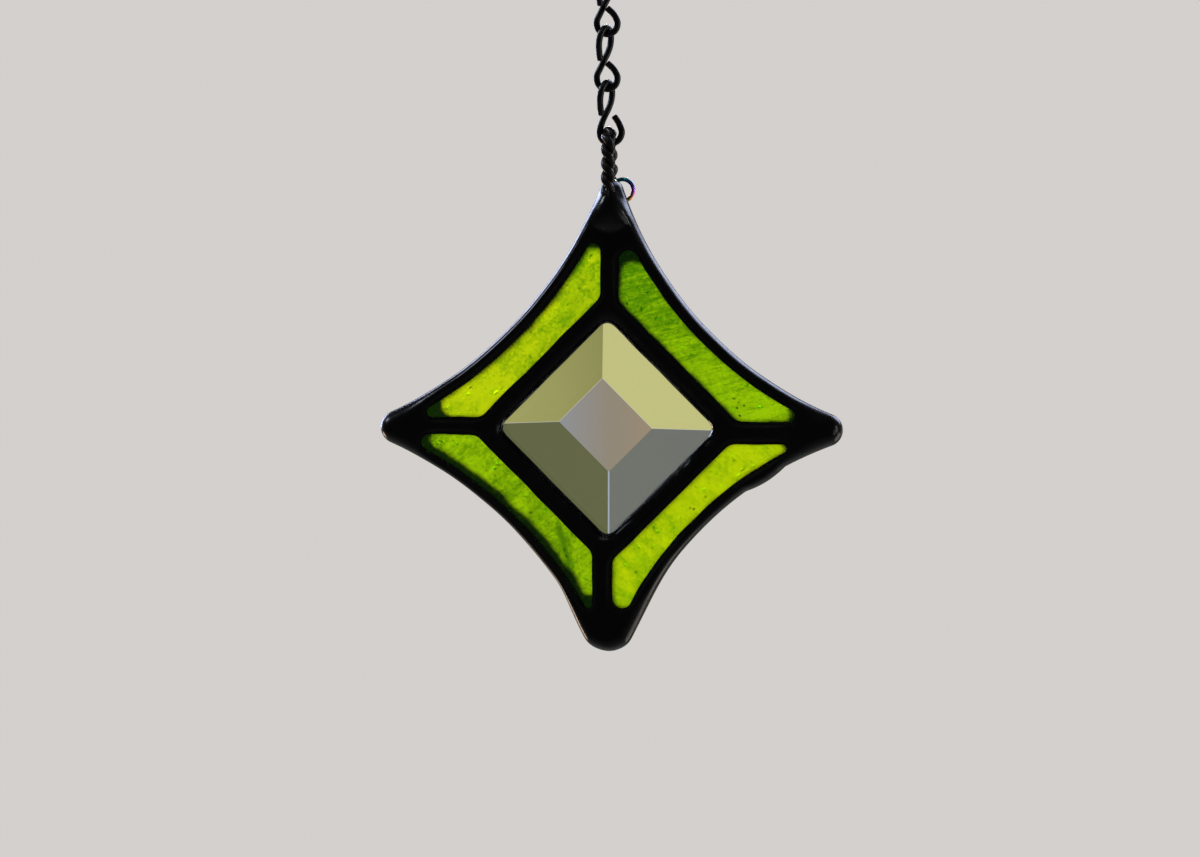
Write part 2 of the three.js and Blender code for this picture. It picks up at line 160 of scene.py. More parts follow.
def star_outline():
    quarters = list(QUARTERS.values())
    parts = []
    for i, quarter in enumerate(quarters):
        before, centre = side_centre(quarters[i - 1]), side_centre(quarter)
        (a, ra), (b, _) = tip(quarter.start), tip(quarter.stop)
        start, end = angle_of(before - a), angle_of(centre - a)
        turn = (end - start) % (tau)
        parts.append(arc(a, ra, start, end, False, round(turn * ra / STEP)))
        start, end = angle_of(a - centre), angle_of(b - centre)
        turn = (start - end) % (tau)
        parts.append(arc(centre, quarter.side, start, end, True, round(turn * quarter.side / STEP)))
    return np.vstack(parts)


def quarter_outline(quarter, grow, ends=None, border_more=0.0):
    """Outline of a quarter's window, or of what lies round it with grow above 0. Its points keep
    their number and order, so two outlines can be joined by a strip."""
    signs, centre, ends = quarter.signs, side_centre(quarter), ends or quarter.ends
    reach = (quarter.seam - grow) * sqrt(2)
    radius = quarter.side + quarter.border + border_more - grow
    rows = []
    for i, j in ((0, 1), (1, 0)):
        spoke = quarter.spokes[i] - signs[i] * grow
        middle, corner, along = np.zeros((3, 2))
        middle[i] = spoke + signs[i] * ends[i]
        drop = sqrt((radius + ends[i]) ** 2 - (middle[i] - centre[i]) ** 2)
        middle[j] = centre[j] - signs[j] * drop
        corner[i], corner[j] = spoke, signs[j] * (reach - signs[i] * spoke)
        along[j] = signs[j]
        foot = middle.copy()
        foot[i] = spoke
        rows.append((foot, middle, corner, corner + along * BLUNT_CORNER, angle_of(middle - centre)))

    feet, middles, corners, inner, angles = zip(*rows)
    along_seam = np.array([signs[0], -signs[1]]) / sqrt(2) * BLUNT_CORNER
    x_after, z_before = corners[0] + along_seam, corners[1] - along_seam
    clockwise = signs[0] * signs[1] > 0
    facing_x = pi if signs[0] > 0 else 0.0
    facing_z = -signs[1] * pi / 2
    return np.vstack([
        line(feet[0], inner[0], SPOKE_POINTS),
        soft_corner(inner[0], corners[0], x_after, CORNER_POINTS),
        line(x_after, z_before, SEAM_POINTS),
        soft_corner(z_before, corners[1], inner[1], CORNER_POINTS),
        line(inner[1], feet[1], SPOKE_POINTS),
        arc(middles[1], ends[1], facing_z, angles[1] + pi, not clockwise, END_POINTS),
        arc(centre, radius, angles[1], angles[0], clockwise, SIDE_POINTS),
        arc(middles[0], ends[0], angles[0] + pi, facing_x, not clockwise, END_POINTS),
    ])


def square_outline(side, corner):
    reach, cut = side / sqrt(2), corner / sqrt(2)
    parts = []
    for i in range(4):
        out = np.array([cos(i * pi / 2), sin(i * pi / 2)])
        left = np.array([-out[1], out[0]])
        back = out * (reach - cut)
        before, after = back - left * cut, back + left * cut
        parts.append(soft_corner(before, out * reach, after, SQUARE_CORNER_POINTS))
        following = left * (reach - cut) + out * cut
        parts.append(line(after, following, SQUARE_SIDE_POINTS))
    return np.vstack(parts)


def ahead(loop):
    return np.roll(loop, -1, axis=0)


def outward(loop):
    """Unit normals of a closed outline, pointing out of it."""
    tangent = ahead(loop) - np.roll(loop, 1, axis=0)
    normal = unit(np.column_stack([tangent[:, 1], -tangent[:, 0]]))
    area = np.sum(loop[:, 0] * ahead(loop)[:, 1] - ahead(loop)[:, 0] * loop[:, 1])
    return normal if area > 0 else -normal


def waver(loop, amount, wave, seed):
    """Moves a closed outline in and out a little, as a hand-run seam does."""
    steps = np.linalg.norm(ahead(loop) - loop, axis=1)
    place = np.concatenate([[0], np.cumsum(steps)[:-1]]) / steps.sum()
    chance = random.Random(seed)
    top = round(steps.sum() / wave)
    shift = np.zeros(len(loop))
    for k in range(2, top + 1):
        phase = chance.uniform(0, tau)
        shift += chance.uniform(0.4, 1.0) * np.sin(tau * k * place + phase)
    shift *= amount / max(1e-9, np.abs(shift).max())
    return loop + outward(loop) * shift[:, None]


# A run of solder stands proud of the lower right border.
RUN_AT, RUN_REACH, RUN_HEIGHT = (23.6, -7.6), 3.4, 0.52


def with_run(loop):
    away = np.linalg.norm(loop - RUN_AT, axis=1) / RUN_REACH
    lift = RUN_HEIGHT * np.clip(1 - away**2, 0, 1)
    return loop + outward(loop) * lift[:, None]


# The solder of the bottom tip swells to either side: sign, height on the plate, how far up and down
# from there, and how much wider.
SWELLS = ((-1, -29.6, 7.5, 0.92), (1, -28.0, 10.0, 0.64))
SWELL_IN = 3.0  # how far from the tip's axis it is that wide


def with_swells(loop):
    off_axis = loop[:, 0] - TIPS["bottom"][0]
    wider = np.zeros(len(loop))
    for sign, height, reach, most in SWELLS:
        share = np.clip(1 - ((loop[:, 1] - height) / reach) ** 2, 0, 1) ** 2
        wider += sign * most * share * smoothstep(0, SWELL_IN, sign * off_axis)
    return loop + np.column_stack([wider, np.zeros(len(loop))])


# ---- distances and points


def inside(points, loop):
    """Which points lie inside a closed outline."""
    x, z = points[:, 0][:, None], points[:, 1][:, None]
    a, b = loop, ahead(loop)
    crosses = (a[:, 1] > z) != (b[:, 1] > z)
    with np.errstate(divide="ignore", invalid="ignore"):
        at = a[:, 0] + (z - a[:, 1]) * (b[:, 0] - a[:, 0]) / (b[:, 1] - a[:, 1])
    return (np.sum(crosses & (x < at), axis=1) % 2) == 1


AT_A_TIME = 2000  # points measured at once, to save memory


def distance(points, loop):
    """Distance from each point to a closed outline."""
    a, ab = loop, ahead(loop) - loop
    length = np.sum(ab**2, axis=1)
    best = np.full(len(points), np.inf)
    for start in range(0, len(points), AT_A_TIME):
        p = points[start:start + AT_A_TIME][:, None, :]
        t = np.clip(np.sum((p - a) * ab, axis=2) / length, 0, 1)
        gap = p - a - t[:, :, None] * ab
        best[start:start + AT_A_TIME] = np.sqrt(np.min(np.sum(gap**2, axis=2), axis=1))
    return best


def on_sheet(points, outline, windows):
    """Which points lie inside an outline, but in none of its windows."""
    keep = inside(points, outline)
    for window in windows:
        keep &= ~inside(points, window)
    return keep


def grid_over(outline, pitch, shift, windows=()):
    """A grid of points on a sheet, with every other row moved along by shift."""
    xs, zs = np.meshgrid(*(np.arange(a, b, pitch) for a, b in zip(outline.min(0), outline.max(0))))
    xs += shift * (np.arange(len(xs)) % 2)[:, None]
    grid = np.column_stack([xs.ravel(), zs.ravel()])
    return grid[on_sheet(grid, outline, windows)]


def at_depth(points, y):
    """Points of the plate as points in space, with one y for all or one for each."""
    return np.column_stack([points[:, 0], np.zeros(len(points)) + y, points[:, 1]])


def smoothstep(low, high, value):
    t = np.clip((value - low) / (high - low), 0, 1)
    return t * t * (3 - 2 * t)


def soft_max(a, b, reach):
    return (a + b + np.sqrt((a - b) ** 2 + reach**2)) / 2


# ---- solder sheet

RIM = 1.2  # how far in from the outer edge the rim is rounded over
RIM_AT_TIP, RIM_AT_TOP = 2.0, 1.5
TIP_REACH = 6.0  # how far from a tip the rim is still rounder
TOP_FROM = 20.0  # the top tip lies above this
BEAD = 1.3  # a seam's greatest height over the glass
BEAD_FILL = 0.75  # how soon a wider seam comes near that height
RIM_ANGLES = np.radians([8, 17, 27, 38, 50, 63, 77])
FOOT_LAYERS = (0.07, 0.16, 0.28, 0.44, 0.64, 0.9)
ROW_GAP = 0.1  # room left between a row of points and another boundary
ROW_KEPT = 0.93  # the share of its depth that a row's point keeps from its own boundary
GRID = 0.3
GRID_GAP = 0.2  # room left between the grid and the rows
MERGE = 1e-5  # points nearer than this are one
# Unevenness: how strong it is, and the size of its waves.
SWELL_WAVES, LONG_WAVES, SHORT_WAVES = (0.22, 5.0), (0.045, 2.2), (0.007, 0.9)
BLOB_BLEND = 0.2  # how softly a blob runs into the sheet
SEAT = 0.02  # gap between solder and glass


def rim_reach(points):
    """How far in the rim is rounded over. It is rounder at the tips."""
    near = np.full(len(points), np.inf)
    for name in TIPS:
        centre, radius = tip(name)
        near = np.minimum(near, np.linalg.norm(points - centre, axis=1) - radius)
    share = 1 - smoothstep(0.0, TIP_REACH, near)
    cap = np.where(points[:, 1] < TOP_FROM, RIM_AT_TIP, RIM_AT_TOP)
    return RIM + (cap - RIM) * share


def sheet_points(outline, windows):
    """Points of a solder sheet: its boundaries, rows beside them, and a grid between the rows.
    Gives the points and how many of them lie on each boundary."""
    loops = [outline, *windows]
    rows = []
    reach = rim_reach(outline)
    for angle in RIM_ANGLES:
        depth = reach * (1 - cos(angle))
        rows.append((outline - outward(outline) * depth[:, None], depth, 0))
    for i, window in enumerate(windows, 1):
        for depth in FOOT_LAYERS:
            rows.append((window + outward(window) * depth, np.full(len(window), depth), i))
    kept = []
    for points, depth, own in rows:
        others = [loop for i, loop in enumerate(loops) if i != own]
        gap = np.min([distance(points, loop) for loop in others], axis=0)
        own_gap = distance(points, loops[own])
        kept.append(points[(gap > depth + ROW_GAP) & (own_gap > depth * ROW_KEPT)])
    grid = grid_over(outline, GRID, GRID / 2, windows)
    near_rim = distance(grid, outline) - rim_reach(grid) * (1 - cos(RIM_ANGLES[-1]))
    near_foot = np.min([distance(grid, w) for w in windows], axis=0) - FOOT_LAYERS[-1]
    kept.append(grid[(near_rim > GRID_GAP) & (near_foot > GRID_GAP)])
    return np.vstack([*loops, *kept]), [len(loop) for loop in loops]


def triangulate(points, counts, outline, windows):
    """Triangles over the sheet, keeping to its boundaries."""
    edges = []
    start = 0
    for count in counts:
        edges += [(start + i, start + (i + 1) % count) for i in range(count)]
        start += count
    result = delaunay_2d_cdt([Vector(p) for p in points], edges, [], 0, MERGE)
    places, faces, sources = result[0], result[2], result[3]
    order = np.full(len(places), -1)
    for i, source in enumerate(sources):
        if source:
            order[i] = source[0]
    made = np.array([[order[i] for i in face] for face in faces if len(face) == 3])
    made = made[(made >= 0).all(axis=1)]
    return made[on_sheet(points[made].mean(axis=1), outline, windows)]


class Film:
    """Finite elements on the triangles of a sheet, for surfaces as smooth as a liquid film."""

    STEEPEST = 50
    MOST_STEPS = 1500
    CLOSE_ENOUGH = 1e-14

    def __init__(self, points, faces):
        self.size = len(points)
        a, b, c = (points[faces[:, i]] for i in range(3))
        cross = (b[:, 0] - a[:, 0]) * (c[:, 1] - a[:, 1]) - (b[:, 1] - a[:, 1]) * (c[:, 0] - a[:, 0])
        twice = np.abs(cross) + 1e-12
        links = []
        for p, q, r, i, j in ((a, b, c, 1, 2), (b, c, a, 2, 0), (c, a, b, 0, 1)):
            cotangent = np.sum((q - p) * (r - p), axis=1) / twice
            weight = np.clip(cotangent, -self.STEEPEST, self.STEEPEST) / 2
            links += [(faces[:, i], faces[:, j], weight), (faces[:, j], faces[:, i], weight)]
        self.rows, self.columns, self.weights = (np.concatenate(part) for part in zip(*links))
        self.degree = np.bincount(self.rows, self.weights, self.size)
        self.area = np.bincount(faces.ravel(), np.repeat(twice / 6, 3), self.size)

    def stiffness(self, field):
        pulled = np.bincount(self.rows, self.weights * field[self.columns], self.size)
        return self.degree * field - pulled

    def solve(self, held, values, load):
        """The field that is held at its given values, with this load everywhere else."""
        field = np.where(held, values, values[held].mean())
        free = ~held
        residual = np.where(free, load * self.area - self.stiffness(field), 0)
        scale = np.where(free, 1 / np.maximum(self.degree, 1e-9), 0)
        step = scale * residual
        score = residual @ step
        for _ in range(self.MOST_STEPS):
            push = np.where(free, self.stiffness(step), 0)
            rate = score / (step @ push)
            field = field + rate * step
            residual = residual - rate * push
            fresh = scale * residual
            new_score = residual @ fresh
            if new_score < self.CLOSE_ENOUGH:
                break
            step = fresh + new_score / score * step
            score = new_score
        return field


def ripple(points, size, seed):
    """Smooth noise between about -1 and 1."""
    return np.array([noise.noise(Vector((x / size, z / size, seed))) for x, z in points])


def uneven(points, waves, seed):
    strength, size = waves
    return strength * ripple(points, size, seed)


# Blobs of solder over the eye's legs: their x, and their profile from the bottom up, as height on
# the plate, half width and how far it stands out from the middle.
FRONT_BLOB = (0.7, (
    (28.3, 2.5, 2.2), (28.9, 3.2, 3.05), (29.8, 3.7, 3.85), (30.8, 3.6, 4.35), (31.8, 3.1, 4.6),
    (32.8, 2.45, 4.5), (33.8, 1.8, 4.1), (34.8, 1.35, 3.6), (35.7, 1.15, 2.9),
))
BACK_BLOB = (0.25, (
    (28.6, 1.5, 2.2), (29.2, 2.1, 3.4), (30.2, 2.35, 4.6), (31.4, 2.2, 5.2), (32.6, 1.75, 5.1),
    (33.6, 1.35, 4.4), (34.6, 1.1, 3.4),
))


def blob_height(points, x, profile):
    z, (heights, halves, tops) = points[:, 1], zip(*profile)
    half, top = np.interp(z, heights, halves), np.interp(z, heights, tops)
    across = np.clip(np.abs(points[:, 0] - x) / half, 0, 1)
    round_over = np.sqrt(1 - across**2) ** 0.9
    lower, upper = heights[0], heights[-1]
    in_range = smoothstep(lower - 0.5, lower + 0.2, z) * (1 - smoothstep(upper, upper + 0.3, z))
    return top * round_over * in_range


def sheet(outline, windows, levels, blob, seed):
    """One face of the solder: its points on the plate, how far each stands out from the middle,
    the triangles, and how many points lie on each boundary."""
    points, counts = sheet_points(outline, windows)
    faces = triangulate(points, counts, outline, windows)
    film = Film(points, faces)
    held = np.zeros(len(points), bool)
    level = np.zeros(len(points))
    held[counts[0]:sum(counts)] = True
    level[held] = np.concatenate([np.zeros(n) + value for n, value in zip(counts[1:], levels)])
    base = film.solve(held, level, 0.0)
    swell = film.solve(held, np.zeros(len(points)), 1.0)
    swell *= 1 + uneven(points, SWELL_WAVES, seed)
    height = base + BEAD * (1 - np.exp(-np.maximum(swell, 0) / BEAD_FILL))
    off_foot = np.clip(swell * 3, 0, 1)
    rough = uneven(points, LONG_WAVES, seed + 7) + uneven(points, SHORT_WAVES, seed + 9)
    height += off_foot * rough
    in_rim = np.clip(distance(points, outline) / rim_reach(points), 0, 1)
    height *= np.sqrt(np.clip(1 - (1 - in_rim) ** 2, 0, 1))
    bulge = blob_height(points, *blob) * np.clip(in_rim * 3, 0, 1) ** 0.5
    height = np.where(bulge > 0.5, soft_max(height, bulge, BLOB_BLEND), height)
    height[:counts[0]] = 0
    height[held] = level[held]
    return points, height, faces, counts


def add_strips(faces, rings):
    """Quads between each ring of vertex numbers and the next."""
    for first, second in zip(rings, rings[1:]):
        for i in range(len(first)):
            j = (i + 1) % len(first)
            faces.append((first[i], first[j], second[j], second[i]))


# The four ground faces of the bevelled square: axis, which end of it, and the sign of that end.
GROUND_FACES = ((0, 0, -1), (0, 1, 1), (1, 0, -1), (1, 1, 1))


def bevel_face(points):
    """Where the front of the bevelled square lies, over points of the plate."""
    across = (points[:, 0] + points[:, 1], points[:, 1] - points[:, 0])
    fall = np.zeros(len(points))
    for axis, end, sign in GROUND_FACES:
        beyond = sign * (across[axis] / sqrt(2) - BEVEL_TABLE_SHIFT[axis]) - BEVEL_TABLE[axis] / 2
        fall = np.maximum(fall, BEVEL_SLOPES[axis][end] * beyond)
    return BEVEL_FRONT + fall


def solder_mesh():
    """The solder: a front and a back sheet, joined at the outer edge and through the pockets that
    hold the glass."""
    outline = waver(with_swells(with_run(star_outline())), amount=0.05, wave=9.0, seed=11)
    fronts, backs, pockets = [], [], []
    lap, glass = FOIL_LAP + CLEARANCE, GLASS_HALF + SEAT
    for i, quarter in enumerate(QUARTERS.values()):
        front = quarter_outline(quarter, 0)
        back = quarter_outline(quarter, BACK_WINDOWS_GROW)
        fronts.append(waver(front, amount=0.09, wave=5.0, seed=20 + i))
        backs.append(waver(back, amount=0.06, wave=5.0, seed=30 + i))
        pockets.append((quarter_outline(quarter, lap, (SLIP_ROUND + CLEARANCE,) * 2), -glass, glass))
    front = square_outline(BEVEL_WINDOW, BEVEL_CORNER) + BEVEL_WINDOW_AT
    fronts.append(waver(front, amount=0.04, wave=7.0, seed=25))
    back = square_outline(BEVEL_BACK_WINDOW, BEVEL_CORNER)
    backs.append(waver(back, amount=0.06, wave=7.0, seed=35))
    pocket = square_outline(BEVEL_SIDE + 2 * CLEARANCE, BEVEL_POCKET_CORNER)
    pockets.append((pocket, bevel_face(pocket) - SEAT, BEVEL_BACK + SEAT))

    levels = [glass] * 4 + [SEAT - bevel_face(fronts[-1])]
    front, front_height, front_faces, counts = sheet(outline, fronts, levels, FRONT_BLOB, 1.0)
    levels = [glass] * 4 + [BEVEL_BACK + SEAT]
    back, back_height, back_faces, _ = sheet(outline, backs, levels, BACK_BLOB, 40.0)

    vertices = [at_depth(front, -front_height), at_depth(back, back_height)]
    # The two sheets share the points of the outer edge.
    start = counts[0]
    back_id = np.arange(len(back)) + len(front)
    back_id[:start] = np.arange(start)
    faces = [tuple(f) for f in front_faces] + [tuple(back_id[f][::-1]) for f in back_faces]
    size = len(front) + len(back)
    for pocket, near, far in pockets:
        count, ring = len(pocket), np.arange(len(pocket))
        vertices += [at_depth(pocket, near), at_depth(pocket, far)]
        add_strips(faces, [start + ring, size + ring, size + count + ring, back_id[start + ring]])
        size += 2 * count
        start += count
    return np.vstack(vertices), faces


# ---- meshes


def add_object(name, data):
    made = bpy.data.objects.new(name, data)
    bpy.context.collection.objects.link(made)
    return made


def add_piece(name, vertices, faces, material, slot, node, sharp=40.0, shell=None):
    """Makes a piece from millimetres on the plate's axes, and fixes it to the frame. Faces past
    shell, if given, are hollows inside it. Edges steeper than sharp, in degrees, stay crisp."""
    mesh = bpy.data.meshes.new(name)
    placed = (np.asarray(vertices) + (0, 0, PLATE_Z)) * MM
    mesh.from_pydata([tuple(v) for v in placed], [], [tuple(int(i) for i in f) for f in faces])
    mesh.validate()
    piece = add_object(name, mesh)
    form = bmesh.new()
    form.from_mesh(mesh)
    loose = [v for v in form.verts if not v.link_faces]
    bmesh.ops.delete(form, geom=loose, context="VERTS")
    bmesh.ops.recalc_face_normals(form, faces=form.faces)
    if shell:
        bmesh.ops.reverse_faces(form, faces=form.faces[shell:])
    form.to_mesh(mesh)
    form.free()
    if sharp:
        mesh.shade_smooth()
        mesh.set_sharp_from_angle(angle=radians(sharp))
    mesh.materials.append(material)
    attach(piece, "root")
    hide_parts(node)
    return piece


def on_plate(piece):
    """Where the points of a piece lie, in millimetres on the plate's axes."""
    return np.array([v.co[:] for v in piece.data.vertices]) / MM - (0, 0, PLATE_Z)


def spread(piece, name, values):
    """Gives every point of a piece a value that its material reads by name."""
    piece.data.attributes.new(name, "FLOAT", "POINT").data.foreach_set("value", values)


# ---- wires


def centripetal(points, per_span):
    """A Catmull-Rom curve through the points, with knots spaced by the root of their distance."""
    def between(t, near, far, a, b):
        return (far - t) / (far - near) * a + (t - near) / (far - near) * b

    p = np.asarray(points, float)
    p = np.vstack([2 * p[0] - p[1], p, 2 * p[-1] - p[-2]])
    out = []
    for i in range(1, len(p) - 2):
        a, b, c, d = p[i - 1:i + 3]
        spans = np.linalg.norm((b - a, c - b, d - c), axis=1) ** 0.5
        k0, k1, k2, k3 = 0, *np.cumsum(spans)
        for t in np.linspace(k1, k2, per_span, endpoint=False):
            bc = between(t, k1, k2, b, c)
            abc = between(t, k0, k2, between(t, k0, k1, a, b), bc)
            bcd = between(t, k1, k3, bc, between(t, k2, k3, c, d))
            out.append(between(t, k1, k2, abc, bcd))
    out.append(p[-2])
    return np.array(out)


def tube(path, radius, sides, chamfer=0.12, closed=False):
    """A round wire along a path, with slightly broken ends."""
    path = np.asarray(path)
    count = len(path)
    tangent = np.gradient(path, axis=0)
    if closed:
        tangent = ahead(path) - np.roll(path, 1, axis=0)
    tangent = unit(tangent)
    side = unit(np.cross(tangent[0], (0.3, 0.2, 1.0)))
    turns = circle(tau * np.arange(sides) / sides)
    rings = []
    for i in range(count):
        side = unit(side - tangent[i] * (side @ tangent[i]))
        ring = turns @ (side, np.cross(tangent[i], side))
        rings.append((path[i], ring, radius))
    if not closed:
        first, last = rings[0], rings[-1]
        rings.insert(0, (first[0] - tangent[0] * chamfer, first[1], radius - chamfer))
        rings.append((last[0] + tangent[-1] * chamfer, last[1], radius - chamfer))
    vertices = np.vstack([centre + ring * size for centre, ring, size in rings])
    faces = []
    loops = list(np.arange(len(vertices)).reshape(-1, sides))
    add_strips(faces, loops + loops[:1] if closed else loops)
    if not closed:
        faces += [tuple(loops[0][::-1]), tuple(loops[-1])]
    return vertices, faces


STRAND_RADIUS = 0.47
STRAND_SHOWN = 0.57  # the strands as shown press into each other a little
LAY_RADIUS = 0.5  # from the cord's axis to a strand's
LAY_PITCH = 4.1
EYE_X = 0.35
EYE_CANT = 0.07  # how far the eye runs to the left, per mm further back
EYE_CROWN_RADIUS = 2.6
EYE_FRONT_DEPTH = 2.9
EYE_FRONT_END, EYE_BACK_END = 31.6, 31.2
EYE_POINTS = 320
FRAME_HALF = 2.4
RING_RADIUS = 1.58
RING_WIRE, RING_SHOWN = 0.5, 0.6
RING_X, RING_Z = 1.95, 34.8
RING_Y = FRAME_HALF + CLEARANCE + RING_WIRE / 2
RING_POINTS = 96
EYE_BACK_DEPTH = RING_Y + RING_WIRE / 2 + CLEARANCE + LAY_RADIUS + STRAND_RADIUS

CHAIN_WIRE, CHAIN_SHOWN = 0.85, 0.95
CHAIN_GAP = 0.1  # between one link and the next
CHAIN_X = (-0.05, -0.05, 0.12)
NECK_BELOW_CROWN = 4.85
LOOP_BOTTOM = -4.05
CHAIN_PITCH = NECK_BELOW_CROWN - LOOP_BOTTOM - CHAIN_WIRE - CHAIN_GAP
# A link's wire, from its neck: up and over its upper loop, and on round its lower one.
UPPER_LOOP = (
    (-0.85, -0.4, 0.2), (-0.95, -0.85, 1.25), (-0.9, -1.38, 2.6), (-0.65, -1.35, 3.85),
    (-0.25, -0.75, 4.68), (0.05, 0, NECK_BELOW_CROWN), (0.28, 0.78, 4.62), (0.45, 1.38, 3.75),
    (0.38, 1.35, 2.45), (0.05, 0.9, 1.2), (-0.4, 0.42, 0.15),
)
CLOSED_LOOP = (
    (-0.9, 0.15, -0.95), (-1.42, 0, -2.3), (-1.05, 0, -3.55), (0.1, 0, LOOP_BOTTOM),
    (1.25, 0, -3.55), (1.62, 0, -2.45), (1.12, -0.12, -1.25), (0.2, -0.42, -0.3),
)
OPEN_LOOP = (
    (-0.78, 0.15, -0.8), (-1.15, 0, -2.3), (-0.8, 0, -3.45), (0.4, 0, LOOP_BOTTOM),
    (1.62, 0, -3.5), (2.08, 0, -2.45), (1.7, 0, -1.2), (0.98, 0, -0.05),
)


def link_neck(index):
    """Height of a link's neck above the plate's centre."""
    return CHAIN_WIRE / 2 - NECK_BELOW_CROWN - index * CHAIN_PITCH - PLATE_Z


def eye_axis(count):
    """The cord's axis, up the front leg, over the crown and down the back leg: its points, and how
    far along it each lies."""
    last_bottom = link_neck(len(CHAIN_X) - 1) + LOOP_BOTTOM + CHAIN_WIRE / 2
    crown = last_bottom + CHAIN_GAP + LAY_RADIUS + STRAND_RADIUS
    shoulder = crown - EYE_CROWN_RADIUS
    front, over = shoulder - EYE_FRONT_END, pi * EYE_CROWN_RADIUS
    tip_top = TIPS["top"][1] + TIPS["top"][2]
    s = np.linspace(0, front + over + shoulder - EYE_BACK_END, count)
    angle = np.clip((s - front) / EYE_CROWN_RADIUS, 0, pi)
    z = shoulder + EYE_CROWN_RADIUS * np.sin(angle)
    z = np.where(s < front, EYE_FRONT_END + s, z)
    z = np.where(s > front + over, shoulder - (s - front - over), z)
    share = smoothstep(0, shoulder - tip_top, shoulder - z)
    depth = np.where(s < front + over / 2, EYE_FRONT_DEPTH, EYE_BACK_DEPTH)
    y = -EYE_CROWN_RADIUS * np.cos(angle)
    y = y + np.sign(y) * (depth - EYE_CROWN_RADIUS) * share
    return np.column_stack([EYE_X - EYE_CANT * y, y, z]), s


def strand_path(phase):
    axis, s = eye_axis(EYE_POINTS)
    side = np.array([1.0, 0, 0])
    normal = np.cross(unit(np.gradient(axis, axis=0)), side)
    angle = (phase + tau * s / LAY_PITCH)[:, None]
    return axis + LAY_RADIUS * (np.cos(angle) * normal + np.sin(angle) * side)


def ring_path():
    angles = tau * np.arange(RING_POINTS) / RING_POINTS
    return at_depth((RING_X, RING_Z) + RING_RADIUS * circle(angles), RING_Y)


# ---- glass


def painted_lap_shade(points, name, seed):
    """How deep each place on the back of a slip lies in the painted shade of the lap, from 0 to 1."""
    quarter = QUARTERS[name]
    border, more_x, more_z = DARK_LAPS[name]
    ends = (quarter.ends[0] + more_x, quarter.ends[1] + more_z)
    lit = quarter_outline(quarter, -LAP_MORE, ends, border)
    depth = distance(points, lit) * np.where(inside(points, lit), 1, -1)
    return 1 - smoothstep(-LAP_SOFT, LAP_SOFT, depth + LAP_WAVER * ripple(points, LAP_WAVE, seed))


SLIP_GRID, SLIP_GRID_GAP = 0.4, 0.28
FACE_IN, BACK_IN = 0.03, 0.02  # how far a slip's faces stay inside the CAD's
FACE_WAVES, FINE_WAVES, BACK_WAVES = (0.05, 6.0), (0.015, 2.0), (0.04, 5.0)


def slip_mesh(quarter, seed):
    """A slip of hand-rolled glass with gently uneven faces, and how many faces its edge has."""
    loop = quarter_outline(quarter, FOIL_LAP, (SLIP_ROUND,) * 2)[::2]
    grid = grid_over(loop, SLIP_GRID, 0.0)
    grid = grid[distance(grid, loop) > SLIP_GRID_GAP]
    points = np.vstack([loop, grid])
    faces = triangulate(points, [len(loop)], loop, [])
    count = len(points)
    wave = uneven(points, FACE_WAVES, seed) + uneven(points, FINE_WAVES, seed + 3)
    other = uneven(points, BACK_WAVES, seed + 11)
    front = at_depth(points, -GLASS_HALF + FACE_IN + np.abs(wave))
    back = at_depth(points, GLASS_HALF - BACK_IN - np.abs(other))
    all_faces = [tuple(f) for f in faces] + [tuple(f[::-1] + count) for f in faces]
    rim = np.arange(len(loop))
    add_strips(all_faces, [rim, rim + count])
    return np.vstack([front, back]), all_faces, len(loop)


# Seeds, the small bubbles sealed in each slip: how many, and the lay of the glass that they follow.
SEEDS = {
    "upper_left": (26, 0.8), "lower_left": (22, -0.7),
    "lower_right": (34, 0.8), "upper_right": (28, -0.2),
}
SPECKS = 10  # how many of these, the last ones made, are specks of grit instead
SEED_RADII, SPECK_RADII, SEED_STRETCH = (0.1, 0.21), (0.06, 0.11), (1.0, 2.2)
SEED_DEPTHS = (-1.15, -0.1)
SEED_INSET = 0.35  # how far inside the window they begin
SEED_SIDES, SEED_RINGS = 10, 7


def seed_meshes(name, quarter):
    """Small long bubbles and specks inside a slip."""
    count, lay = SEEDS[name]
    chance = random.Random(name)
    window = quarter_outline(quarter, -SEED_INSET)
    low, high = window.min(0), window.max(0)
    along = np.array([cos(lay), 0, sin(lay)])
    turns = circle(tau * np.arange(SEED_SIDES) / SEED_SIDES)
    round_it = turns @ ((-sin(lay), 0, cos(lay)), (0, 1, 0))
    vertices, faces = [], []
    while count:
        x, z = chance.uniform(low[0], high[0]), chance.uniform(low[1], high[1])
        if not inside(np.array([[x, z]]), window)[0]:
            continue
        count -= 1
        radius = chance.uniform(*(SPECK_RADII if count < SPECKS else SEED_RADII))
        length = radius * chance.uniform(*SEED_STRETCH)
        centre = np.array([x, chance.uniform(*SEED_DEPTHS), z])
        rings = []
        for i in range(1, SEED_RINGS):
            polar = pi * i / SEED_RINGS
            rings.append(len(vertices) + np.arange(SEED_SIDES))
            vertices += list(centre + along * length * cos(polar) + round_it * radius * sin(polar))
        add_strips(faces, rings)
        poles = len(vertices)
        vertices += [centre + along * length, centre - along * length]
        for pole, ring in ((poles, rings[0]), (poles + 1, rings[-1])):
            faces += [(pole, ring[k], ring[(k + 1) % SEED_SIDES]) for k in range(SEED_SIDES)]
    return np.array(vertices), faces


SQUARE = ((1, 1), (-1, 1), (-1, -1), (1, -1))


def on_low_ridge(edge):
    """Whether an edge of the square lies on the ridge between the two lower ground faces."""
    ends = [v.co for v in edge.verts]
    low = all(abs(x - y) < LOW_RIDGE_WITHIN and x < 0 and z > -BEVEL_BACK for x, y, z in ends)
    return low and edge.calc_length() > LOW_RIDGE_WITHIN


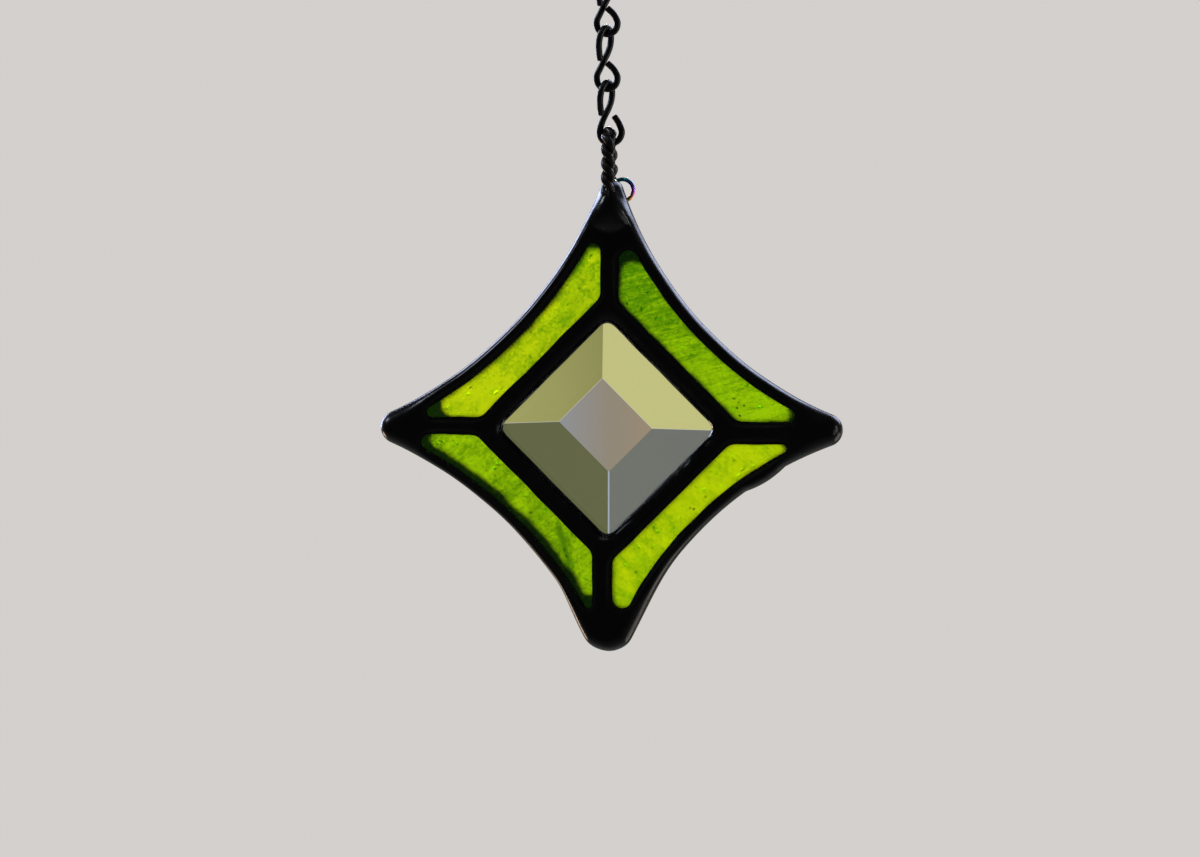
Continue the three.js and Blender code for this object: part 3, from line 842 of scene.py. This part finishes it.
def bevel_mesh():
    """The bevelled square, with narrow arrises where its faces meet."""
    half = BEVEL_SIDE / 2
    form = bmesh.new()
    levels = (-BEVEL_BACK, -BEVEL_FRONT)
    corners = [[form.verts.new((u * half, v * half, w)) for u, v in SQUARE] for w in levels]
    form.faces.new(corners[0][::-1])
    form.faces.new(corners[1])
    for i in range(4):
        j = (i + 1) % 4
        form.faces.new((corners[0][i], corners[0][j], corners[1][j], corners[1][i]))
    for axis, end, sign in GROUND_FACES:
        normal = Vector((0, 0, 1))
        normal[axis] = sign * BEVEL_SLOPES[axis][end]
        on_plane = Vector((0, 0, -BEVEL_FRONT))
        on_plane[axis] = BEVEL_TABLE_SHIFT[axis] + sign * BEVEL_TABLE[axis] / 2
        cutter = {"plane_co": on_plane, "plane_no": normal, "clear_outer": True}
        bmesh.ops.bisect_plane(form, geom=form.verts[:] + form.edges[:] + form.faces[:], **cutter)
        rim = [e for e in form.edges if e.is_boundary]
        bmesh.ops.contextual_create(form, geom=rim)
    bmesh.ops.recalc_face_normals(form, faces=form.faces)
    low_ridge = [e for e in form.edges if on_low_ridge(e)]
    rest = [e for e in form.edges if e not in low_ridge]
    for edges, offset in ((low_ridge, LOW_RIDGE_ARRIS), (rest, BEVEL_ARRIS)):
        edges = [e for e in edges if e.is_valid]
        bmesh.ops.bevel(form, geom=edges, offset=offset, segments=1, profile=0.5, affect="EDGES")
    vertices = []
    for vertex in form.verts:
        u, v, w = vertex.co
        vertices.append(((u - v) / sqrt(2), -w, (u + v) / sqrt(2)))
    faces = [[v.index for v in f.verts] for f in form.faces]
    form.free()
    return vertices, faces


# ---- materials


class Finish:
    """A material with one Principled shader and the nodes that feed it."""

    def __init__(self, name, **plain):
        self.material = bpy.data.materials.new(name)
        self.material.use_nodes = True
        self.tree = self.material.node_tree
        self.shader = self.tree.nodes["Principled BSDF"]
        for socket, value in plain.items():
            self.shader.inputs[socket.replace("_", " ")].default_value = value

    def node(self, kind, inputs=None, **settings):
        made = self.tree.nodes.new(kind)
        for key, value in settings.items():
            setattr(made, key, value)
        for key, value in (inputs or {}).items():
            if isinstance(value, bpy.types.NodeSocket):
                self.tree.links.new(value, made.inputs[key])
            else:
                made.inputs[key].default_value = value
        return made

    def feed(self, socket, source):
        self.tree.links.new(source, self.shader.inputs[socket])

    def here(self):
        return self.node("ShaderNodeTexCoord").outputs["Object"]

    def split(self, vector):
        return self.node("ShaderNodeSeparateXYZ", {0: vector}).outputs

    def turned(self, vector, angle):
        """A vector after a turn in the plane of the plate."""
        inputs = {"Vector": vector, "Angle": angle}
        return self.node("ShaderNodeVectorRotate", inputs, rotation_type="Y_AXIS").outputs[0]

    def place(self, size, turn=0.0, shift=(0, 0, 0)):
        """Coordinates in units of size: millimetres, for all axes or for each after a turn."""
        scale = Vector(1 / (MM * np.ones(3) * size))
        inputs = {"Vector": self.turned(self.here(), turn), "Scale": scale, "Location": shift}
        return self.node("ShaderNodeMapping", inputs).outputs[0]

    def noise(self, where, detail=3.0, roughness=0.5, distortion=0.0):
        inputs = {"Vector": where, "Scale": 1.0, "Detail": detail, "Roughness": roughness}
        return self.node("ShaderNodeTexNoise", {**inputs, "Distortion": distortion}).outputs[0]

    def value_of(self, name):
        """What the mesh gives each point under this name."""
        return self.node("ShaderNodeAttribute", attribute_name=name).outputs["Fac"]

    def scaled(self, value, start, end, low=0.0, high=1.0, ease="LINEAR"):
        """Turns the range from start to end into the range from low to high, and stays in it."""
        inputs = {"Value": value, "From Min": start, "From Max": end, "To Min": low, "To Max": high}
        return self.node("ShaderNodeMapRange", inputs, interpolation_type=ease).outputs[0]

    def ramp(self, value, stops):
        made = self.node("ShaderNodeValToRGB", {"Fac": value})
        elements = made.color_ramp.elements
        while len(elements) < len(stops):
            elements.new(0.5)
        for element, (at, color) in zip(elements, stops):
            element.position = at
            element.color = (*color, 1) if isinstance(color, tuple) else (color, color, color, 1)
        return made.outputs[0]

    def mix(self, share, first, second):
        first, second = ((*c, 1) if isinstance(c, tuple) else c for c in (first, second))
        inputs = {0: share, 6: first, 7: second}
        return self.node("ShaderNodeMix", inputs, data_type="RGBA").outputs[2]

    def math(self, operation, first, second, clamp=False):
        inputs = {0: first, 1: second}
        return self.node("ShaderNodeMath", inputs, operation=operation, use_clamp=clamp).outputs[0]

    def bump(self, height, distance, strength=1.0, normal=None):
        inputs = {"Height": height, "Distance": distance * MM, "Strength": strength}
        if normal is not None:
            inputs["Normal"] = normal
        return self.node("ShaderNodeBump", inputs).outputs[0]


def patina():
    """Polished black patina on solder: near black, with faint brown where it is thin, and dull in
    the corner where it meets the coloured glass."""
    made = Finish("black_patina_solder", Specular_IOR_Level=0.1)
    broad = made.noise(made.place(4), 4, 0.6)
    fine = made.noise(made.place(0.5), 5, 0.65)
    made.feed("Base Color", made.ramp(broad, [
        (0.3, (0.0012, 0.0013, 0.0016)), (0.62, (0.0022, 0.0022, 0.0025)),
        (0.8, (0.006, 0.0045, 0.004)),
    ]))
    gloss = made.scaled(made.mix(0.3, broad, fine), 0.35, 0.65, 0.14, 0.32)
    dull = made.scaled(made.value_of("from_window"), 0.3, 0.9, 0.7, 0.0)
    made.feed("Roughness", made.math("ADD", gloss, dull))
    made.feed("Normal", made.bump(fine, 0.0015, 0.3, made.bump(broad, 0.02, 0.4)))
    return made.material


def wire(name, dark, rubbed, share):
    """Wire under a dark finish that is rubbed through to a brown in places."""
    made = Finish(name, Specular_IOR_Level=0.14)
    patches = made.noise(made.place((0.9, 0.9, 1.6)), 4, 0.6)
    fine = made.noise(made.place((0.18, 0.18, 0.5)), 4, 0.6)
    worn = made.ramp(patches, [(1 - share - 0.08, 0.0), (1 - share + 0.12, 1.0)])
    made.feed("Base Color", made.mix(worn, dark, rubbed))
    made.feed("Roughness", made.ramp(fine, [(0.3, 0.24), (0.75, 0.46)]))
    made.feed("Normal", made.bump(fine, 0.015, 0.6))
    return made.material


def rainbow():
    """Iridescent plating: the colour runs round the ring."""
    made = Finish("rainbow_plating", Metallic=1.0, Roughness=0.2)
    parts = made.split(made.here())
    across = made.math("SUBTRACT", parts[0], RING_X * MM)
    up = made.math("SUBTRACT", parts[2], (RING_Z + PLATE_Z) * MM)
    spot = made.node("ShaderNodeCombineXYZ", {0: across, 1: up}).outputs[0]
    turn = made.node("ShaderNodeTexGradient", {0: spot}, gradient_type="RADIAL").outputs[0]
    made.feed("Base Color", made.ramp(turn, [
        (0.0, (0.10, 0.45, 0.25)), (0.2, (0.75, 0.55, 0.10)), (0.38, (0.85, 0.38, 0.10)),
        (0.45, (0.55, 0.12, 0.35)), (0.52, (0.25, 0.10, 0.50)), (0.60, (0.05, 0.10, 0.45)),
        (0.72, (0.02, 0.28, 0.36)), (0.85, (0.03, 0.38, 0.38)),
    ]))
    return made.material


# Colours of the slips: the dark and the light end, the turn and stretch of the streaks, the heights
# on the plate where a slip is darkest and lightest, the tone halfway up, and how strongly the height,
# the streaks, the clouds, the fine streaks and the grain show.
GREENS = {
    "upper_left": ((0.13, 0.42, 0), (0.76, 1, 0.003), 0.9, (9, 9, 3.5), (27, 6), 0.6,
                   (0.9, 1.6, 1.8, 2, 2.6)),
    "lower_left": ((0.12, 0.33, 0), (0.5, 0.9, 0.001), 0.6, (7, 7, 2.2), (-24, -2), 0.6,
                   (0.1, 1.9, 1.6, 2.2, 2.6)),
    "lower_right": ((0.26, 0.6, 0), (0.72, 1, 0.001), -0.7, (8, 8, 3), (-24, -6), 0.8,
                    (0.3, 2.4, 2, 2.2, 2.6)),
    "upper_right": ((0.08, 0.3, 0), (0.48, 0.88, 0.001), 0.25, (6, 6, 0.9), (27, 2), 0.46,
                    (0.85, 1.9, 0.9, 2.6, 2)),
}
# Colour of the painted lap shade on the back of each slip.
LAP_SHADE_GREEN = (0.00004, 0.0008, 0.00004)
# Dark wisps in the glass: turn, middle, half width and half length in millimetres, and how dark.
WISPS = {"lower_left": (-1.27, (-5.9, -18.0), (0.8, 6.5), 1.1)}
WISP_BEND = 3.0


def wisp(made, turn, middle, half, strength):
    x, z = middle
    origin = (x * MM, 0, (z + PLATE_Z) * MM)
    off = made.node("ShaderNodeVectorMath", {0: made.here(), 1: origin}, operation="SUBTRACT")
    parts = made.split(made.turned(off.outputs[0], turn))
    bend = made.noise(made.place(4, 0.0, (1, 5, 2)), 2)
    shift = made.math("MULTIPLY", made.math("SUBTRACT", bend, 0.5), WISP_BEND * MM)
    across = made.math("DIVIDE", made.math("ADD", parts[2], shift), half[0] * MM)
    along = made.math("DIVIDE", parts[0], half[1] * MM)
    reach = made.math("ADD", made.math("POWER", across, 2.0), made.math("POWER", along, 2.0))
    return made.scaled(reach, 0.0, 1.0, strength, 0.0, ease="SMOOTHSTEP")


def green(name):
    dark, light, turn, stretch, (low, high), middle, (by_height, *weights) = GREENS[name]
    made = Finish(f"green_glass_{name}", IOR=1.25, Roughness=0.28, Transmission_Weight=1.0)
    streaks = made.noise(made.place(stretch, turn), 5, 0.6, 0.8)
    cloud = made.noise(made.place(3.5, 0.0, (3, 1, 7)), 3, 0.5)
    fine = made.noise(made.place([s / 3 for s in stretch], turn), 4, 0.65, 0.5)
    grain = made.noise(made.place(0.5), 3, 0.6)
    start, end = (low + PLATE_Z) * MM, (high + PLATE_Z) * MM
    height = made.split(made.here())[2]
    tone = made.scaled(height, start, end, middle - by_height / 2, middle + by_height / 2)
    for part, weight in zip((streaks, cloud, fine, grain), weights):
        away = made.math("SUBTRACT", part, 0.5)
        tone = made.math("ADD", tone, made.math("MULTIPLY", away, weight))
    if name in WISPS:
        tone = made.math("SUBTRACT", tone, wisp(made, *WISPS[name]))
    shade = made.mix(made.math("ADD", tone, 0.0, clamp=True), dark, light)
    # Painted shade of the solder lap darkens the back of the slip.
    made.feed("Base Color", made.mix(made.value_of("painted_lap_shade"), shade, LAP_SHADE_GREEN))
    made.feed("Normal", made.bump(grain, 0.03, 0.3, made.bump(streaks, 0.2, 0.25)))
    return made.material


def foil():
    """The dull inner face of the foil round the edge of each slip, and the specks of grit."""
    made = Finish("foil_on_edge", Roughness=0.9, Specular_IOR_Level=0.0)
    specks = made.noise(made.place(0.6), 2)
    made.feed("Base Color", made.mix(specks, (0.002, 0.002, 0.002), (0.005, 0.004, 0.003)))
    return made.material


def clear():
    glass = {"IOR": 1.52, "Roughness": 0.0, "Transmission_Weight": 1.0}
    return Finish("clear_bevel", Base_Color=(0.97, 0.985, 0.975, 1), **glass).material


def matte(name, color):
    return Finish(name, Roughness=0.8, Base_Color=(*color, 1)).material


# ---- the pieces

solder = add_piece("solder", *solder_mesh(), patina(), "solder", "solder_frame", sharp=50)
at = on_plate(solder)[:, [0, 2]]
windows = [quarter_outline(quarter, 0) for quarter in QUARTERS.values()]
spread(solder, "from_window", np.min([distance(at, window) for window in windows], axis=0))

add_piece("bevel", *bevel_mesh(), clear(), "clear_glass", "bevel_square", sharp=0)

edge_foil = foil()
for i, (name, quarter) in enumerate(QUARTERS.items()):
    vertices, faces, edge = slip_mesh(quarter, seed=3.0 + 10 * i)
    seeds, seed_faces = seed_meshes(name, quarter)
    shell = len(faces)
    faces += [tuple(k + len(vertices) for k in face) for face in seed_faces]
    mesh = np.vstack([vertices, seeds]), faces
    slip = add_piece(f"slip_{name}", *mesh, green(name), "green_glass", f"glass_{name}", 50, shell)
    slip.data.materials.append(edge_foil)
    at = on_plate(slip)
    # Painted shade of the lap, on the back face of the slip only.
    shade = painted_lap_shade(at[:, [0, 2]], name, seed=60.0 + 10 * i)
    spread(slip, "painted_lap_shade", np.where(at[:, 1] > GLASS_HALF / 2, shade, 0.0))
    grit = SPECKS * SEED_RINGS * SEED_SIDES
    for face in [*slip.data.polygons[shell - edge:shell], *slip.data.polygons[-grit:]]:
        face.material_index = 1

eye_finish = wire("eye_wire", (0.003, 0.0028, 0.0026), (0.05, 0.024, 0.014), 0.4)
for i in range(2):
    mesh = tube(strand_path(i * pi), STRAND_SHOWN, sides=18)
    add_piece(f"strand_{i + 1}", *mesh, eye_finish, "eye_wire", f"eye_strand_{i + 1}")

chain_finish = wire("chain_wire", (0.002, 0.002, 0.0023), (0.05, 0.024, 0.017), 0.28)
for i, x in enumerate(CHAIN_X):
    lower = OPEN_LOOP if i == len(CHAIN_X) - 1 else CLOSED_LOOP
    path = centripetal(UPPER_LOOP + lower, per_span=14) + (x, 0, link_neck(i))
    mesh = tube(path, CHAIN_SHOWN / 2, sides=20, chamfer=0.08)
    add_piece(f"link_{i + 1}", *mesh, chain_finish, "chain", f"chain_link_{i + 1}")

mesh = tube(ring_path(), RING_SHOWN / 2, sides=16, closed=True)
add_piece("ring", *mesh, rainbow(), "rainbow_ring", "jump_ring")

# ---- camera

PLATE = Vector((0, 0, PLATE_Z * MM))
AZIMUTH, ELEVATION = radians(8), radians(3)
CAMERA_DISTANCE = 0.56
AIM_LEFT = 0.99  # how far left of the square's middle the camera aims, in mm
LENS, SENSOR = 114.9, 36

level_part = cos(ELEVATION)
back = Vector((sin(AZIMUTH) * level_part, -cos(AZIMUTH) * level_part, sin(ELEVATION)))
right = Vector((cos(AZIMUTH), sin(AZIMUTH), 0))
camera = add_object("camera", bpy.data.cameras.new("camera"))
camera.data.lens, camera.data.sensor_width = LENS, SENSOR
camera.data.clip_end = 50
camera.location = PLATE + back * CAMERA_DISTANCE - right * AIM_LEFT * MM
camera.rotation_euler = (-back).to_track_quat("-Z", "Y").to_euler()
bpy.context.scene.camera = camera

# ---- stage and lights

# The plate hangs in front of a bright wall, as in a window. The ground faces of the bevelled square
# bend the view by some nine degrees: the lower two look over the top of the wall, at a dim panel,
# and the upper two look down at a straw-coloured board on the floor.
WALL_Y = 7.0
WALL_TOP = 0.43
PANEL_TOP = 2.8
FLOOR_Z, FLOOR_NEAR = -1.4, -5.0
STAGE_SIDES = (-7.0, 5.5)
BOARD_Z, BOARD_NEAR, BOARD_SIDES = -1.395, 4.2, (-3.0, 1.5)
WALL_COLOR = (0.655, 0.63, 0.61)
FLOOR_COLOR = (0.74, 0.73, 0.66)
# A painted soft shadow on the wall, seen through the middle of the square: where it starts to fade,
# where it ends, and its colours from left to right.
SHADOW_EVEN, SHADOW_REACH = 0.115, 0.2
SHADOW_COLORS = ((0.30, 0.312, 0.345), (0.305, 0.262, 0.2), (0.355, 0.272, 0.18))
TABLE_CENTRE = (
    (BEVEL_TABLE_SHIFT[0] - BEVEL_TABLE_SHIFT[1]) / sqrt(2),
    (BEVEL_TABLE_SHIFT[0] + BEVEL_TABLE_SHIFT[1]) / sqrt(2),
)
# Colours of their glow along x, bands of painted light. The panel's x is counted from the middle of
# its bright band, a painted strip of light which the lowest ridge of the square catches.
PANEL_STOPS = (
    (-1.4, (0.175, 0.185, 0.155)), (-0.35, (0.15, 0.155, 0.155)), (0.0, (0.42, 0.47, 0.56)),
    (0.35, (0.122, 0.132, 0.055)), (1.4, (0.13, 0.138, 0.058)),
)
BOARD_STOPS = (
    (-1.9, (0.59, 0.575, 0.235)), (-0.5, (0.57, 0.56, 0.225)), (0.1, (0.35, 0.345, 0.115)),
    (0.27, (0.235, 0.235, 0.075)),
)
# Name, place, size, colour and watts. All of them aim at the middle of the plate.
LIGHTS = (
    ("sky_left", (-1.15, 1.6, 0.25), (0.7, 0.9), (0.58, 0.66, 1.0), 18),
    ("sky_right", (0.8, 1.9, 0.9), (1.0, 1.0), (0.62, 0.7, 1.0), 17),
    ("left_high", (-0.9, 0.05, 0.6), (0.3, 0.3), (0.8, 0.87, 1.0), 8),
    ("room_top", (-0.1, -0.45, 1.0), (0.5, 0.5), (0.9, 0.94, 1.0), 1.8),
    ("room_right", (1.0, -0.25, -0.25), (0.4, 0.5), (0.95, 0.97, 1.0), 2),
    ("back_box", (-0.28, 2.0, 0.47), (0.3, 0.45), (0.92, 1.0, 0.88), 14),
    ("right_strip", (1.3, 0.1, 0.1), (0.08, 0.7), (1.0, 0.97, 0.94), 5),
    ("warm_low", (-1.2, 0.9, -0.7), (0.4, 0.4), (1.0, 0.72, 0.55), 6),
    ("low_right", (1.2, 0.8, -0.8), (0.9, 0.9), (1.0, 0.9, 0.8), 7),
)
WORLD_COLOR, WORLD_STRENGTH = (1.0, 0.98, 0.96), 0.12


def behind(x, z):
    """The place on the wall that the camera sees straight behind a point of the plate."""
    point = PLATE + Vector((x, 0, z)) * MM
    ray = point - camera.location
    return camera.location + ray * (WALL_Y - camera.location.y) / ray.y


def card(name, sides, ys, zs, material):
    """A flat card from one side to the other, and from the first y and z to the last."""
    (left, right), (near, far), (low, high) = sides, ys, zs
    corners = [(left, near, low), (right, near, low), (right, far, high), (left, far, high)]
    mesh = bpy.data.meshes.new(name)
    mesh.from_pydata(corners, [], [(0, 1, 2, 3)])
    mesh.materials.append(material)
    add_object(name, mesh)


def shining(name):
    """A finish that only shines."""
    return Finish(name, Base_Color=(0, 0, 0, 1), Specular_IOR_Level=0.0, Emission_Strength=1.0)


def bands(made, stops):
    """A colour that changes along x, by stops of x and colour."""
    first, last = stops[0][0], stops[-1][0]
    share = made.scaled(made.split(made.here())[0], first, last)
    return made.ramp(share, [((at - first) / (last - first), shade) for at, shade in stops])


def banded(name, stops):
    made = shining(name)
    made.feed("Emission Color", bands(made, stops))
    return made.material


# The glowing wall, with a painted soft shadow behind the middle of the square.
def lit_wall():
    made = shining("light_wall")
    centre = behind(*TABLE_CENTRE)
    places = (centre.x - SHADOW_EVEN, centre.x, centre.x + SHADOW_EVEN)
    painted_shadow = bands(made, list(zip(places, SHADOW_COLORS)))
    away = made.node("ShaderNodeVectorMath", {0: made.here(), 1: centre}, operation="DISTANCE")
    clear_of = made.scaled(away.outputs["Value"], SHADOW_EVEN, SHADOW_REACH, ease="SMOOTHSTEP")
    made.feed("Emission Color", made.mix(clear_of, painted_shadow, WALL_COLOR))
    return made.material


def area_light(name, place, size, color, power):
    data = bpy.data.lights.new(name, "AREA")
    data.shape = "RECTANGLE"
    data.size, data.size_y = size
    data.color = color
    data.energy = power
    made = add_object(name, data)
    made.location = Vector(place)
    made.visible_camera = False
    made.rotation_euler = (PLATE - made.location).to_track_quat("-Z", "Y").to_euler()


ridge_x = behind(0, 0).x
panel = banded("dim_panel", [(ridge_x + x, color) for x, color in PANEL_STOPS])
board, floor = banded("straw_board", BOARD_STOPS), matte("pale_floor", FLOOR_COLOR)
at_wall = (WALL_Y, WALL_Y)
card("floor", STAGE_SIDES, (FLOOR_NEAR, WALL_Y), (FLOOR_Z, FLOOR_Z), floor)
card("board", BOARD_SIDES, (BOARD_NEAR, WALL_Y), (BOARD_Z, BOARD_Z), board)
card("wall", STAGE_SIDES, at_wall, (FLOOR_Z, WALL_TOP), lit_wall())
card("panel", STAGE_SIDES, at_wall, (WALL_TOP, PANEL_TOP), panel)

for light in LIGHTS:
    area_light(*light)

world = bpy.data.worlds.new("studio")
world.use_nodes = True
background = world.node_tree.nodes["Background"]
background.inputs["Color"].default_value = (*WORLD_COLOR, 1)
background.inputs["Strength"].default_value = WORLD_STRENGTH
bpy.context.scene.world = world
bpy.context.scene.view_settings.view_transform = "Standard"
